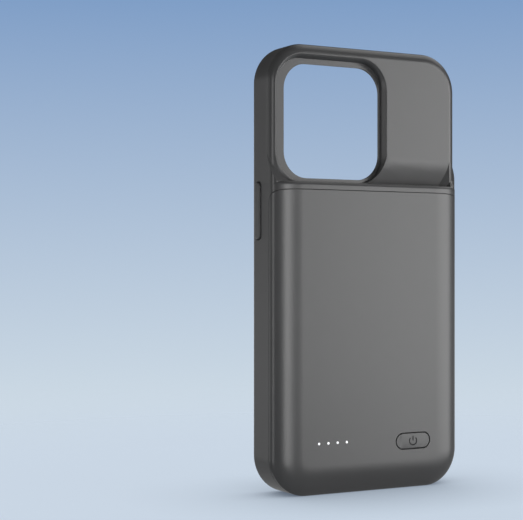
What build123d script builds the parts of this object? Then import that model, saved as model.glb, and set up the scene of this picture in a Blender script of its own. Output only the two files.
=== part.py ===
from build123d import *
import os

# Battery charging case for a slab phone, empty and standing on its chin. Seen from behind, X runs to the
# right and Z up, and the battery side faces -Y. The origin is under the middle of the case. Depths are
# measured backwards from the face of the front lip. All sizes are in millimetres.

# Phone that the pocket takes
PHONE_WIDTH = 70.6
PHONE_HEIGHT = 146.6
PHONE_THICKNESS = 8.25
PHONE_CORNER = 10.4
PHONE_PLAY = 0.2
PHONE_DEPTH_PLAY = 0.15

# Camera island of that phone, placed from its left and top edges as seen from behind
CAMERA_FROM_LEFT = 4.2
CAMERA_FROM_TOP = 3.9
CAMERA_WIDTH = 38.2
CAMERA_HEIGHT = 38.7
CAMERA_CORNER = 8.6
CAMERA_PLAY = 0.4

# Soft bumper: walls, front lip and chin
SIDE_WALL = 2.9
TOP_WALL = 2.8
CHIN = 5.2
CHIN_FLOOR = 1.6
CHIN_FRONT = 2.6
CHIN_HALF = 11.5
FRONT_LIP = 1.2
LIP_OVERLAP_SIDE = 1.2
LIP_OVERLAP_END = 0.6
LIP_RISE = 0.7
LIP_STEP = 1.3
LIP_ROUND = 0.35
FRONT_ROUND = 1.8
SHELF_WIDTH = 2.2
SHELF_THICKNESS = 1.8

# Raised upper back, its valley above the battery and the flared camera opening
PANEL_RISE = 3.8
PANEL_WALL = 1.8
PANEL_ROUND = 3.5
PANEL_SINK = 1.2
PANEL_CORNER_LEFT = 8.6
VALLEY_RISE = 1.6
VALLEY_FLOOR = 0.3
SLOPE_LENGTH = 9.4
SLOPE_EASE = 3.0
RAIL_WIDTH = 3.0
RAIL_SLOPE = 3.4
LEDGE_LEFT = 3.1
LEDGE_RIGHT = 0.5
LEDGE_TOP = 1.8
LEDGE_BOTTOM = 1.4
LEDGE_CORNER = 9.5
FLARE_LEFT = 2.5
FLARE_TOP = 1.1
FLARE_CORNER = 11.0
FLARE_ROUND = 0.4
WEB_RISE = 10.0
WEB_FOOT = 1.0
WEB_PROUD = 0.6
WEB_ROUND = 2.5
WEB_CLEAR = 1.3

# Battery bulge, its seam and the cover's shell
BAY_DEPTH = 4.9
COVER_WALL = 1.5
SHOULDER_REACH = 11.0
SHOULDER_RISE = 4.0
SHOULDER_DROP = 0.5
RIDGE_WIDTH = 2.6
RIDGE_ROUND = 1.4
SEAM_BEND = 5.5
SEAM_GAP = 0.2
SEAT_WIDTH = 1.5
SEAT_SINK = 0.1
SEAT_MARGIN = 0.6
TONGUE_GAP = 0.2
TONGUE_WALL = 1.5
TONGUE_DEPTH = 1.4

# Hard inner chassis and the screws that pull it to the cover
PLATE_THICKNESS = 1.2
PLATE_PLAY = 0.15
SHELF_PLAY = 0.2
PLUG_SHELF = 1.0
SCREW_FROM_FOOT = 6.8
SCREW_FROM_HEAD = 6.4
SCREW_DIAMETER = 1.4
SCREW_LENGTH = 4.5
SCREW_HEAD = 2.6
SCREW_SINK = 0.1
SCREW_PLAY = 0.1
SCREW_SLOT_SHARE = 0.6
SCREW_SLOT_WIDTH = 0.35
SCREW_SLOT_DEPTH = 0.3
BOSS_DIAMETER = 3.8
BOSS_INWARD = 0.6

# Keys in the side walls, placed down from the phone's top edge
KEY_WIDTH = 3.4
KEY_PROUD = 0.6
KEY_ROUND = 0.5
KEY_GAP = 0.3
KEY_FLANGE = 0.8
KEY_FLANGE_THICKNESS = 0.8
KEY_TRAVEL = 0.4
KEY_SEAT_GAP = 0.15
SIDE_KEY_FROM_TOP = 54.4
SIDE_KEY_LENGTH = 19.6
VOLUME_UP_FROM_TOP = 45.2
VOLUME_DOWN_FROM_TOP = 60.0
VOLUME_KEY_LENGTH = 12.4
ACTION_FROM_TOP = 31.0
ACTION_LENGTH = 11.4
ACTION_WIDTH = 5.0
ACTION_ROUND = 0.3

# Power button and charge lights in the cover, placed in from the ends of the main board
BUTTON_FROM_RIGHT = 10.8
BUTTON_HEIGHT = 16.75
BUTTON_LENGTH = 14.1
BUTTON_WIDTH = 5.4
BUTTON_GAP = 0.3
BUTTON_FLANGE = 0.8
BUTTON_FLANGE_THICKNESS = 0.9
BUTTON_SEAT_GAP = 0.3
BUTTON_TRAVEL = 0.3
BUTTON_ROUND = 0.2
LIGHT_COUNT = 4
LIGHT_PITCH = 3.72
LIGHT_FROM_LEFT = 7.2
LIGHT_HEIGHT = 17.85
LIGHT_DIAMETER = 0.8
LIGHT_GAP = 0.05
LIGHT_BAR_WIDTH = 2.8
LIGHT_BAR_THICKNESS = 1.6

# Boards and what they carry; pairs are places across and up, from the lights, the button or the middle
BOARD_THICKNESS = 0.8
BOARD_STANDOFF = 1.3
BOARD_HEIGHT = 16.8
BOARD_PLAY = 0.5
BOARD_SIDE_GAP = 0.7
BOARD_CORNER = 5.0
BOARD_TAB_HALF = 8.6
BOARD_TAB_DROP = 4.2
BOARD_SCREW_INSET = 2.8
BOARD_SCREW_DIAMETER = 1.3
BOARD_SCREW_HEAD = 2.4
BOARD_SCREW_HEAD_THICKNESS = 0.7
STANDOFF_DIAMETER = 3.2
SWITCH_SIZE = 4.6
SWITCH_THICKNESS = 0.9
PLUNGER_DIAMETER = 2.4
PLUNGER_LENGTH = 0.8
PLUNGER_PROUD = 0.4
PLUNGER_GAP = 0.1
LED_LENGTH = 1.6
LED_WIDTH = 0.9
LED_THICKNESS = 0.6
CONTROLLER_PLACE = (-4.6, 17.0)
CONTROLLER_SIZE = 5.0
CONTROLLER_THICKNESS = 0.9
INDUCTOR_FROM_BUTTON = 12.4
INDUCTOR_HEIGHT = 14.6
INDUCTOR_SIZE = 6.0
INDUCTOR_THICKNESS = 2.0
INDUCTOR_CORNER = 1.4
TRANSISTOR_PLACES = ((-9.0, 10.6), (-3.6, 10.6))
TRANSISTOR_SIZE = (3.2, 3.2)
TRANSISTOR_THICKNESS = 0.9
CAPACITORS_BY_LIGHTS = ((-0.8, 11.4), (2.2, 11.4), (5.2, 11.4))
CAPACITORS_BY_BUTTON = ((-6.6, 9.6), (-6.6, 20.8), (7.0, 16.0))
CAPACITOR_SIZE = (1.6, 2.4)
CAPACITOR_THICKNESS = 1.1

# Battery cell and its wiring
CELL_PLAY = 1.2
CELL_SIDE_GAP = 0.8
CELL_ROUND = 1.2
TAPE_THICKNESS = 0.2
TAPE_WIDTH = 9.0
TAPE_MARGIN = 6.0
FOAM_THICKNESS = 0.4
FOAM_WIDTH = 32.0
FOAM_HEIGHT = 36.0
GUARD_GAP = 1.0
GUARD_WIDTH = 36.0
GUARD_HEIGHT = 2.8
CELL_GAP = 0.6
TAB_SPACING = 20.0
TAB_WIDTH = 3.0
TAB_THICKNESS = 0.2
TAB_OVERLAP = 1.6
LEAD_DIAMETER = 1.0
LEAD_X = 3.0
LEAD_SPACING = 3.0
LEAD_HUMP = 1.4
LEAD_REACH = 2.6
LEAD_BEND = 0.7

# Charging socket in the bottom edge
SOCKET_WIDTH = 8.94
SOCKET_THICKNESS = 3.16
SOCKET_WALL = 0.3
SOCKET_LENGTH = 7.3
SOCKET_RECESS = 0.4
SOCKET_PLAY = 0.2
SOCKET_BASE = 1.8
TONGUE_WIDTH = 6.7
TONGUE_THICKNESS = 0.7
TONGUE_SETBACK = 0.8

# Plug that stands in the phone pocket
PLUG_WIDTH = 8.25
PLUG_THICKNESS = 2.4
PLUG_WALL = 0.25
PLUG_LENGTH = 6.5
PLUG_PLAY = 0.1
PLUG_COLLAR_WIDTH = 11.2
PLUG_COLLAR_THICKNESS = 4.6
PLUG_CORE_BASE = 3.8
PLUG_CORE_SETBACK = 0.7
PLUG_MOUTH = 1.0
PLUG_BOARD_WIDTH = 19.0
PLUG_BOARD_LENGTH = 7.1
PLUG_BOARD_PLAY = 0.6
FLEX_X = 6.8
FLEX_WIDTH = 3.2
FLEX_THICKNESS = 0.2
FLEX_BEND = 0.7
FLEX_OVERLAP = 2.4
FLEX_RISE = 2.2

# Slots in the chin for the phone's speaker and microphone
SOUND_SLOT_LENGTH = 4.0
SOUND_SLOT_WIDTH = 1.6
SOUND_SLOT_PITCH = 5.2
SOUND_SLOT_COUNT = 3
SOUND_SLOT_FIRST = 15.0

# Cutters run this far past the faces they open
OVERCUT = 1.0

# Degrees in a quarter of a full turn
QUARTER_TURN = 90

# Places that follow from the driving sizes
pocket_half = PHONE_WIDTH / 2 + PHONE_PLAY
pocket_top = CHIN + PHONE_HEIGHT + 2 * PHONE_PLAY
pocket_corner = PHONE_CORNER + PHONE_PLAY
pocket_floor = FRONT_LIP + PHONE_THICKNESS + PHONE_DEPTH_PLAY
half_width = pocket_half + SIDE_WALL
case_height = pocket_top + TOP_WALL
case_corner = pocket_corner + SIDE_WALL
plate_back = pocket_floor + PLATE_THICKNESS
frame_back = plate_back + SHELF_THICKNESS
cover_inside = plate_back + BAY_DEPTH
case_depth = cover_inside + COVER_WALL
phone_middle = FRONT_LIP + PHONE_THICKNESS / 2
phone_top = CHIN + PHONE_PLAY + PHONE_HEIGHT
side_key_height = phone_top - SIDE_KEY_FROM_TOP
volume_up_height = phone_top - VOLUME_UP_FROM_TOP
volume_down_height = phone_top - VOLUME_DOWN_FROM_TOP
action_height = phone_top - ACTION_FROM_TOP

panel_back = plate_back + PANEL_RISE
valley_back = plate_back + VALLEY_RISE

window_left = -PHONE_WIDTH / 2 + CAMERA_FROM_LEFT - CAMERA_PLAY
window_right = window_left + CAMERA_WIDTH + 2 * CAMERA_PLAY
window_top = phone_top - CAMERA_FROM_TOP + CAMERA_PLAY
window_bottom = window_top - CAMERA_HEIGHT - 2 * CAMERA_PLAY
window_corner = CAMERA_CORNER + CAMERA_PLAY
ridge_top = window_bottom - LEDGE_BOTTOM
ledge_left = window_left - LEDGE_LEFT
ledge_right = window_right + LEDGE_RIGHT
ledge_top = window_top + LEDGE_TOP
panel_bottom = ridge_top - PANEL_SINK
slope_low = ridge_top + VALLEY_FLOOR
slope_top = slope_low + SLOPE_LENGTH
window_middle = (window_left + window_right) / 2
rail_left = half_width - RAIL_WIDTH
flare_left = ledge_left - FLARE_LEFT
web_back = panel_back + WEB_PROUD
web_top = ridge_top + WEB_RISE

seam_top = ridge_top - RIDGE_WIDTH
bend_start = seam_top - SEAM_BEND
mouth_half = pocket_half - SHELF_WIDTH
mouth_bottom = CHIN
mouth_top = bend_start - SEAT_WIDTH - SEAT_MARGIN
mouth_corner = case_corner - SIDE_WALL - SHELF_WIDTH
tongue_inset = TONGUE_GAP + TONGUE_WALL
boss_x = mouth_half - tongue_inset - BOSS_INWARD
screw_low = mouth_bottom + SCREW_FROM_FOOT
screw_high = mouth_top - SCREW_FROM_HEAD
screw_rows = (screw_low, (screw_low + screw_high) / 2, screw_high)
boss_places = [(side * boss_x, height) for height in screw_rows for side in (-1, 1)]

arm_left = ledge_right + PANEL_WALL
plate_shoulder = panel_bottom - SHELF_WIDTH

board_front = plate_back + BOARD_STANDOFF
board_back = board_front + BOARD_THICKNESS
board_middle = (board_front + board_back) / 2
board_half = boss_x - BOSS_DIAMETER / 2 - BOARD_SIDE_GAP
board_bottom = mouth_bottom + tongue_inset + BOARD_PLAY
board_top = board_bottom + BOARD_HEIGHT
board_screw_places = [
    (side * (board_half - BOARD_SCREW_INSET), height)
    for height in (board_bottom + BOARD_SCREW_INSET, board_top - BOARD_SCREW_INSET)
    for side in (-1, 1)
]
button_x = board_half - BUTTON_FROM_RIGHT
light_first = LIGHT_FROM_LEFT - board_half
light_places = [(light_first + step * LIGHT_PITCH, LIGHT_HEIGHT) for step in range(LIGHT_COUNT)]
inductor_place = (button_x - INDUCTOR_FROM_BUTTON, INDUCTOR_HEIGHT)
capacitor_places = [(light_first + across, height) for across, height in CAPACITORS_BY_LIGHTS]
capacitor_places += [(button_x + across, height) for across, height in CAPACITORS_BY_BUTTON]

guard_bottom = board_top + GUARD_GAP
guard_top = guard_bottom + GUARD_HEIGHT
cell_bottom = guard_top + CELL_GAP
cell_top = mouth_top - tongue_inset - CELL_PLAY
cell_half = boss_x - BOSS_DIAMETER / 2 - CELL_SIDE_GAP
cell_front = plate_back + TAPE_THICKNESS
cell_back = cover_inside - FOAM_THICKNESS
cell_middle = (cell_bottom + cell_top) / 2

plug_board_top = CHIN_FLOOR + BOARD_THICKNESS
plug_shelf_low = CHIN - PLUG_SHELF
plug_top = CHIN + PLUG_LENGTH
plug_board_front = CHIN_FRONT + PLUG_BOARD_PLAY
plug_board_back = plug_board_front + PLUG_BOARD_LENGTH

button_flange_back = cover_inside - BUTTON_SEAT_GAP
button_flange_front = button_flange_back - BUTTON_FLANGE_THICKNESS
switch_back = board_back + SWITCH_THICKNESS
plunger_back = switch_back + PLUNGER_PROUD
plunger_front = plunger_back - PLUNGER_LENGTH
well_floor = plunger_front - BUTTON_TRAVEL - PLUNGER_GAP


def y_at(depth):
    """Y of a depth behind the front lip."""
    return case_depth / 2 - depth


def at_depth(depth):
    """Plane parallel to the back at a depth, X across, Z up, facing backwards."""
    return Plane.XZ.offset(-y_at(depth))


def rounded_box(left, right, bottom, top, radius):
    """Rounded rectangle between four limits, on the sketch in use."""
    with Locations(((left + right) / 2, (bottom + top) / 2)):
        RectangleRounded(right - left, top - bottom, radius)


def plain_box(left, right, bottom, top, mode=Mode.ADD):
    """Rectangle between four limits, on the sketch in use."""
    with Locations(((left + right) / 2, (bottom + top) / 2)):
        Rectangle(right - left, top - bottom, mode=mode)


def mouth_outline(inset, mode=Mode.ADD):
    """Outline of the bumper's battery mouth drawn in by an inset, on the sketch in use."""
    with Locations((0, (mouth_bottom + mouth_top) / 2)):
        RectangleRounded(
            2 * (mouth_half - inset), mouth_top - mouth_bottom - 2 * inset, mouth_corner - inset, mode=mode
        )


def bulge(inset, front, top):
    """Battery bulge drawn in by an inset: straight sides, elliptical shoulders, flat back, square top end.

    The shoulder's path runs a little below the bottom edge, which leaves a wider foot to stand on.
    """
    half = half_width - inset
    back = case_depth - inset
    reach = SHOULDER_REACH - inset
    rise = SHOULDER_RISE - inset
    corner = case_corner - inset
    spring = back - rise
    low = inset - SHOULDER_DROP
    with BuildPart() as block:
        with BuildSketch(at_depth(front)) as outline:
            plain_box(-half, half, inset, top)
            fillet(outline.vertices().group_by(Axis.Y)[0], corner)
        extrude(amount=back - front)
        with BuildLine(at_depth(spring)):
            FilletPolyline((-half, top), (-half, low), (half, low), (half, top), radius=corner)
        with BuildSketch(Plane((-half, y_at(spring), top), x_dir=(1, 0, 0), z_dir=(0, 0, -1))):
            with BuildLine():
                EllipticalCenterArc((reach, 0), reach, rise, start_angle=QUARTER_TURN, arc_size=QUARTER_TURN)
                Polyline(
                    (0, 0), (-OVERCUT, 0), (-OVERCUT, rise + OVERCUT), (reach, rise + OVERCUT), (reach, rise)
                )
            make_face()
        sweep(mode=Mode.SUBTRACT)
    return block.part


def behind_seam(gap):
    """Space behind the seam, a gap away from it: straight along the sides, bending backwards near the top."""
    centre_y = y_at(frame_back + SEAM_BEND)
    radius = SEAM_BEND - gap
    far_y = y_at(case_depth + SEAM_BEND)
    with BuildPart() as space:
        with BuildSketch(Plane.YZ):
            with BuildLine():
                Line((centre_y + radius, -OVERCUT), (centre_y + radius, bend_start))
                CenterArc((centre_y, bend_start), radius, 0, QUARTER_TURN)
                Polyline(
                    (centre_y, bend_start + radius),
                    (far_y, bend_start + radius),
                    (far_y, -OVERCUT),
                    (centre_y + radius, -OVERCUT),
                )
            make_face()
        extrude(amount=half_width + OVERCUT, both=True)
    return space.part


def wall_plane(side, height, inward):
    """Plane on a side wall at a height, a distance in from its outer face, facing outwards, Z along its x."""
    origin = (side * (half_width - inward), y_at(phone_middle), height)
    return Plane(origin, x_dir=(0, 0, 1), z_dir=(side, 0, 0))


def key_body(side, height, length):
    """Key in a side wall: rounded cap and shank, with a wider flange on the phone's side."""
    flange_in = SIDE_WALL - KEY_TRAVEL
    flange_out = flange_in - KEY_FLANGE_THICKNESS
    with BuildPart() as key:
        with BuildSketch(wall_plane(side, height, flange_out)):
            RectangleRounded(length, KEY_WIDTH, KEY_WIDTH / 2 - KEY_GAP)
        extrude(amount=flange_out + KEY_PROUD)
        fillet(key.faces().sort_by(Axis.X)[-1 if side > 0 else 0].edges(), KEY_ROUND)
        with BuildSketch(wall_plane(side, height, flange_in)):
            RectangleRounded(length + 2 * KEY_FLANGE, KEY_WIDTH + 2 * KEY_FLANGE, KEY_WIDTH / 2)
        extrude(amount=KEY_FLANGE_THICKNESS)
    return key.part


def key_opening(side, height, length):
    """What a key takes out of the side wall: a slot for its shank and a recess for its flange."""
    recess_out = SIDE_WALL - KEY_TRAVEL - KEY_FLANGE_THICKNESS - KEY_SEAT_GAP
    wide = 2 * (KEY_FLANGE + KEY_GAP)
    with BuildPart() as opening:
        with BuildSketch(wall_plane(side, height, SIDE_WALL + OVERCUT)):
            RectangleRounded(length + wide, KEY_WIDTH + wide, KEY_WIDTH / 2 + KEY_GAP)
        extrude(amount=SIDE_WALL + OVERCUT - recess_out)
        with BuildSketch(wall_plane(side, height, recess_out)):
            RectangleRounded(length + 2 * KEY_GAP, KEY_WIDTH + 2 * KEY_GAP, KEY_WIDTH / 2)
        extrude(amount=recess_out + OVERCUT)
    return opening.part


def plate_outline(play):
    """Chassis plate's outline, a play inside the pocket: full width below, an arm beside the camera above."""
    rounded_box(play - pocket_half, pocket_half - play, CHIN + play, pocket_top - play, pocket_corner - play)
    plain_box(-half_width, arm_left + play, plate_shoulder - play, case_height, mode=Mode.SUBTRACT)


def lead(x):
    """Wire from the guard board over to the main board, standing off both in a low hump."""
    high = y_at(board_back + LEAD_HUMP)
    with BuildPart() as wire:
        with BuildLine(Plane.YZ.offset(x)) as route:
            FilletPolyline(
                (y_at(board_back), guard_bottom + LEAD_REACH / 2),
                (high, guard_bottom + LEAD_REACH / 2),
                (high, board_top - LEAD_REACH),
                (y_at(board_back), board_top - LEAD_REACH),
                radius=LEAD_BEND,
            )
        with BuildSketch(Plane(route.line @ 0, z_dir=route.line % 0)):
            Circle(LEAD_DIAMETER / 2)
        sweep()
    return wire.part


def chips(places, size, thickness):
    """Flat components soldered on the back of the main board."""
    with BuildPart() as group:
        with BuildSketch(at_depth(board_back)):
            with Locations(*places):
                Rectangle(*size)
        extrude(amount=thickness)
    return group.part


def save(piece, name):
    """Label a finished piece and write it to its own file."""
    piece.label = name
    export_step(piece, f"parts/{name}.step")


os.makedirs("parts", exist_ok=True)

# Camera opening: a straight window in the phone's plane, then a flare out to the lip
with BuildPart() as camera_opening:
    with BuildSketch(at_depth(plate_back)):
        rounded_box(ledge_left, ledge_right, ridge_top, ledge_top, LEDGE_CORNER)
    with BuildSketch(at_depth(panel_back + OVERCUT)):
        rounded_box(flare_left, ledge_right, ridge_top, ledge_top + FLARE_TOP, FLARE_CORNER)
    loft(ruled=True)
    with BuildSketch(at_depth(pocket_floor - OVERCUT)):
        rounded_box(window_left, window_right, window_bottom, window_top, window_corner)
    extrude(amount=PLATE_THICKNESS + 2 * OVERCUT)

# Base of the valley, which fills the corners that the raised back leaves above the battery
with BuildPart() as valley:
    with BuildSketch(at_depth(pocket_floor)):
        plain_box(-half_width, half_width, seam_top, slope_top)
    extrude(amount=panel_back - pocket_floor)
    fillet(valley.faces().sort_by(Axis.Y)[0].edges().filter_by(Axis.Z), PANEL_ROUND)
    with BuildSketch(at_depth(valley_back)):
        plain_box(-half_width, half_width, seam_top, slope_top)
    extrude(amount=PANEL_RISE, mode=Mode.SUBTRACT)

# Space above the slope that leads from the raised back down to the valley and ends at a rail on the right
with BuildPart() as slope_space:
    with BuildSketch(Plane.YZ.offset(window_middle)):
        with BuildLine():
            Line((y_at(valley_back), panel_bottom - OVERCUT), (y_at(valley_back), slope_low))
            Bezier(
                (y_at(valley_back), slope_low),
                (y_at(panel_back), slope_top - SLOPE_EASE),
                (y_at(panel_back), slope_top),
            )
            Polyline(
                (y_at(panel_back), slope_top),
                (y_at(panel_back + OVERCUT), slope_top),
                (y_at(panel_back + OVERCUT), panel_bottom - OVERCUT),
                (y_at(valley_back), panel_bottom - OVERCUT),
            )
        make_face()
    extrude(amount=rail_left - window_middle)
    with BuildSketch(Plane.XY.offset(panel_bottom - OVERCUT)):
        with BuildLine():
            Polyline(
                (rail_left - RAIL_SLOPE, y_at(valley_back)),
                (rail_left, y_at(panel_back)),
                (rail_left + OVERCUT, y_at(panel_back)),
                (rail_left + OVERCUT, y_at(valley_back)),
                close=True,
            )
        make_face()
    extrude(amount=slope_top + OVERCUT - panel_bottom, mode=Mode.SUBTRACT)

# Raised upper back before it joins the bumper: the camera lip is rounded, then the slope beside it is cut
with BuildPart() as panel:
    with BuildSketch(at_depth(pocket_floor)) as panel_outline:
        plain_box(-half_width, half_width, panel_bottom, case_height)
        fillet(panel_outline.vertices().group_by(Axis.Y)[-1], case_corner)
        fillet(panel_outline.vertices().group_by(Axis.Y)[0].sort_by(Axis.X)[0], PANEL_CORNER_LEFT)
    extrude(amount=panel_back - pocket_floor)
    fillet(panel.faces().sort_by(Axis.Y)[0].edges(), PANEL_ROUND)
    add(valley.part)
    add(camera_opening.part, mode=Mode.SUBTRACT)
    opening_edges = panel.edges().filter_by(GeomType.BSPLINE)
    lip_edges = [edge for edge in opening_edges if edge.bounding_box().max.Y < y_at(valley_back)]
    fillet(lip_edges, FLARE_ROUND)
    add(slope_space.part, mode=Mode.SUBTRACT)

# Webs that carry the battery's shoulders up: beside the camera lip's lower left corner, and behind the rail
with BuildPart() as web:
    with BuildSketch(at_depth(pocket_floor)):
        plain_box(-half_width, ledge_left + FLARE_CORNER, ridge_top - WEB_FOOT, web_top)
        with Locations((flare_left + FLARE_CORNER, ridge_top + FLARE_CORNER)):
            Circle(FLARE_CORNER + WEB_CLEAR, mode=Mode.SUBTRACT)
        plain_box(rail_left, half_width, ridge_top - WEB_FOOT, web_top)
    extrude(amount=web_back - pocket_floor)
    back_edges = web.edges().filter_by(Axis.Z).group_by(Axis.Y)[0].sort_by(Axis.X)
    fillet([back_edges[0], back_edges[-1]], WEB_ROUND)
    with BuildSketch(Plane.YZ.offset(-half_width)):
        with BuildLine():
            Polyline(
                (y_at(web_back), ridge_top),
                (y_at(panel_back - PANEL_ROUND), web_top),
                (y_at(web_back + OVERCUT), web_top),
                (y_at(web_back + OVERCUT), ridge_top),
                close=True,
            )
        make_face()
    extrude(amount=2 * half_width, mode=Mode.SUBTRACT)

# Battery bulge with its top edge rounded, shared by the bumper's ridge and the cover
with BuildPart() as housing:
    add(bulge(0, pocket_floor, ridge_top))
    top_face = housing.faces().sort_by(Axis.Z)[-1]
    fillet(top_face.edges().sort_by(Axis.Y)[:-1], RIDGE_ROUND)

seam_space = behind_seam(0)
cover_space = behind_seam(SEAM_GAP)
key_openings = [
    key_opening(-1, side_key_height, SIDE_KEY_LENGTH),
    key_opening(1, volume_up_height, VOLUME_KEY_LENGTH),
    key_opening(1, volume_down_height, VOLUME_KEY_LENGTH),
]

with BuildPart() as bumper:
    # Frame round the phone with its front lip
    with BuildSketch(at_depth(LIP_RISE)):
        rounded_box(-half_width, half_width, 0, case_height, case_corner)
    extrude(amount=pocket_floor - LIP_RISE)
    fillet(bumper.faces().sort_by(Axis.Y)[-1].edges(), FRONT_ROUND)
    with BuildSketch(at_depth(0)):
        rounded_box(
            LIP_STEP - half_width,
            half_width - LIP_STEP,
            LIP_STEP,
            case_height - LIP_STEP,
            case_corner - LIP_STEP,
        )
    extrude(amount=LIP_RISE + FRONT_ROUND)
    fillet(bumper.faces().sort_by(Axis.Y)[-1].edges(), LIP_ROUND)
    # Phone pocket and the opening that the lip leaves
    with BuildSketch(at_depth(FRONT_LIP)):
        rounded_box(-pocket_half, pocket_half, CHIN, pocket_top, pocket_corner)
    extrude(amount=pocket_floor - FRONT_LIP, mode=Mode.SUBTRACT)
    with BuildSketch(at_depth(-OVERCUT)):
        rounded_box(
            LIP_OVERLAP_SIDE - pocket_half,
            pocket_half - LIP_OVERLAP_SIDE,
            CHIN + LIP_OVERLAP_END,
            pocket_top - LIP_OVERLAP_END,
            pocket_corner - LIP_OVERLAP_SIDE,
        )
    extrude(amount=FRONT_LIP + 2 * OVERCUT, mode=Mode.SUBTRACT)
    front_face = bumper.faces().sort_by(Axis.Y)[-1]
    fillet(front_face.inner_wires()[0].edges(), LIP_ROUND)
    # Raised back with its camera opening, and the battery ridge in front of the seam
    add(panel.part)
    add(web.part)
    add(housing.part)
    add(seam_space, mode=Mode.SUBTRACT)
    # Seat of the chassis, the battery mouth behind it and the hollow behind the upper back
    with BuildSketch(at_depth(pocket_floor)):
        plate_outline(0)
    extrude(amount=PLATE_THICKNESS, mode=Mode.SUBTRACT)
    with BuildSketch(at_depth(plate_back)):
        mouth_outline(0)
    extrude(amount=SHELF_THICKNESS + OVERCUT, mode=Mode.SUBTRACT)
    with BuildSketch(at_depth(plate_back)):
        plain_box(arm_left + SHELF_WIDTH, mouth_half, slope_top, pocket_top - pocket_corner)
    extrude(amount=PANEL_RISE - PANEL_WALL, mode=Mode.SUBTRACT)
    # Hollow of the chin for the plug, the socket's slot and the sound slots
    with BuildSketch(at_depth(CHIN_FRONT)):
        plain_box(-CHIN_HALF, CHIN_HALF, CHIN_FLOOR, CHIN + PLATE_PLAY)
    extrude(amount=frame_back - CHIN_FRONT, mode=Mode.SUBTRACT)
    with BuildSketch(Plane.XY):
        with Locations((0, y_at(board_middle))):
            SlotOverall(SOCKET_WIDTH + 2 * SOCKET_PLAY, SOCKET_THICKNESS + 2 * SOCKET_PLAY)
        for side in (-1, 1):
            for step in range(SOUND_SLOT_COUNT):
                with Locations((side * (SOUND_SLOT_FIRST + step * SOUND_SLOT_PITCH), y_at(phone_middle))):
                    SlotOverall(SOUND_SLOT_LENGTH, SOUND_SLOT_WIDTH)
    extrude(amount=CHIN, mode=Mode.SUBTRACT)
    # Keys and the open cut-out above them
    for opening in key_openings:
        add(opening, mode=Mode.SUBTRACT)
    with BuildSketch(wall_plane(1, action_height, SIDE_WALL + OVERCUT)):
        RectangleRounded(ACTION_LENGTH, ACTION_WIDTH, ACTION_WIDTH / 2 - KEY_GAP)
    extrude(amount=SIDE_WALL + 2 * OVERCUT, mode=Mode.SUBTRACT)
    side_face = bumper.faces().filter_by(Axis.X).sort_by(Axis.X)[-1]
    action_wire = side_face.inner_wires().sort_by(Axis.Z)[-1]
    fillet(action_wire.edges(), ACTION_ROUND)
save(bumper.part, "bumper")

with BuildPart() as inner_chassis:
    with BuildSketch(at_depth(pocket_floor)):
        plate_outline(PLATE_PLAY)
        shelf_half = CHIN_HALF - SHELF_PLAY
        plain_box(-shelf_half, shelf_half, plug_shelf_low, CHIN + pocket_corner)
    extrude(amount=PLATE_THICKNESS)
    # Shelf at the pocket's foot that the plug stands in
    with BuildSketch(at_depth(CHIN_FRONT + SHELF_PLAY)):
        plain_box(-shelf_half, shelf_half, plug_shelf_low, CHIN)
    extrude(amount=plate_back - CHIN_FRONT - SHELF_PLAY)
    with BuildSketch(Plane.XY.offset(plug_shelf_low)):
        with Locations((0, y_at(phone_middle))):
            SlotOverall(PLUG_WIDTH + 2 * PLUG_PLAY, PLUG_THICKNESS + 2 * PLUG_PLAY)
    extrude(amount=PLUG_SHELF, mode=Mode.SUBTRACT)
    # Standoffs of the main board, with their pilot holes
    with BuildSketch(at_depth(plate_back)):
        with Locations(*board_screw_places):
            Circle(STANDOFF_DIAMETER / 2)
    extrude(amount=BOARD_STANDOFF)
    with Locations(at_depth(board_front)):
        with Locations(*board_screw_places):
            Hole((BOARD_SCREW_DIAMETER + SCREW_PLAY) / 2, depth=BOARD_STANDOFF + PLATE_THICKNESS / 2)
    # Countersunk holes that open towards the phone
    with Locations(Plane(at_depth(pocket_floor).origin, x_dir=(-1, 0, 0), z_dir=(0, 1, 0))):
        with Locations(*boss_places):
            CounterSinkHole(
                SCREW_DIAMETER / 2 + SCREW_PLAY, SCREW_HEAD / 2 + SCREW_PLAY, counter_sink_angle=QUARTER_TURN
            )
save(inner_chassis.part, "inner_chassis")

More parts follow.
